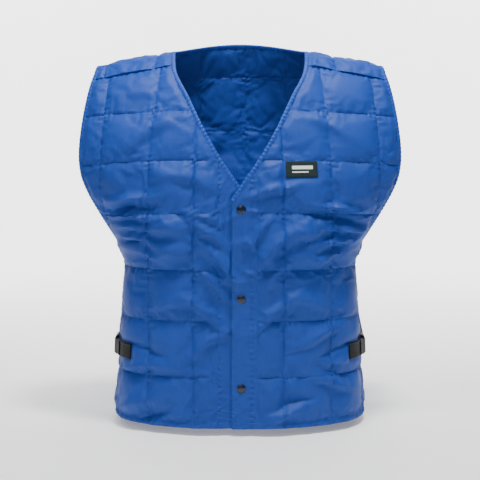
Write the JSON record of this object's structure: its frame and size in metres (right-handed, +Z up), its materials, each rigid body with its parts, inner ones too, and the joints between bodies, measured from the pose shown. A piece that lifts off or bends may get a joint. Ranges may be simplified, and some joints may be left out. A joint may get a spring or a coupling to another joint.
{
  "type": "quilted cooling vest",
  "caption": "Sleeveless quilted work vest with a deep V neck, lapped snap front, bound edges and a cinch strap at each side, shaped as worn.",
  "frame": {"origin": "Midway between the two neck points, on the crest of the shoulders, where the vest sits on the wearer.", "axes": "+Z up along the worn vest, +X towards the wearer's left side, the front faces -Y."},
  "size_m": [0.5176, 0.2472, 0.6078],
  "materials": {
    "quilted_cloth": "quilted nylon, slightly satin",
    "plain_cloth": "nylon, slightly satin",
    "binding_cloth": "gathered nylon binding",
    "snap_metal": "dark blue-black enamel",
    "label_weave": "fine woven label",
    "webbing": "woven webbing",
    "buckle_plastic": "moulded, matt"
  },
  "bodies": {
    "root": {"front_panel_right": "quilted_cloth", "front_panel_left": "quilted_cloth", "back_panel": "quilted_cloth", "placket_over": "plain_cloth", "placket_under": "plain_cloth", "neck_binding": "binding_cloth", "armhole_binding_left": "binding_cloth", "armhole_binding_right": "binding_cloth", "snap_cap_1": "snap_metal", "snap_cap_2": "snap_metal", "snap_cap_3": "snap_metal", "snap_stud_1": "snap_metal", "snap_stud_2": "snap_metal", "snap_stud_3": "snap_metal", "label_patch": "label_weave", "strap_front_left": "webbing", "strap_front_right": "webbing", "strap_back_left": "webbing", "strap_back_right": "webbing", "buckle_left": "buckle_plastic", "buckle_right": "buckle_plastic"}
  },
  "joints": []
}
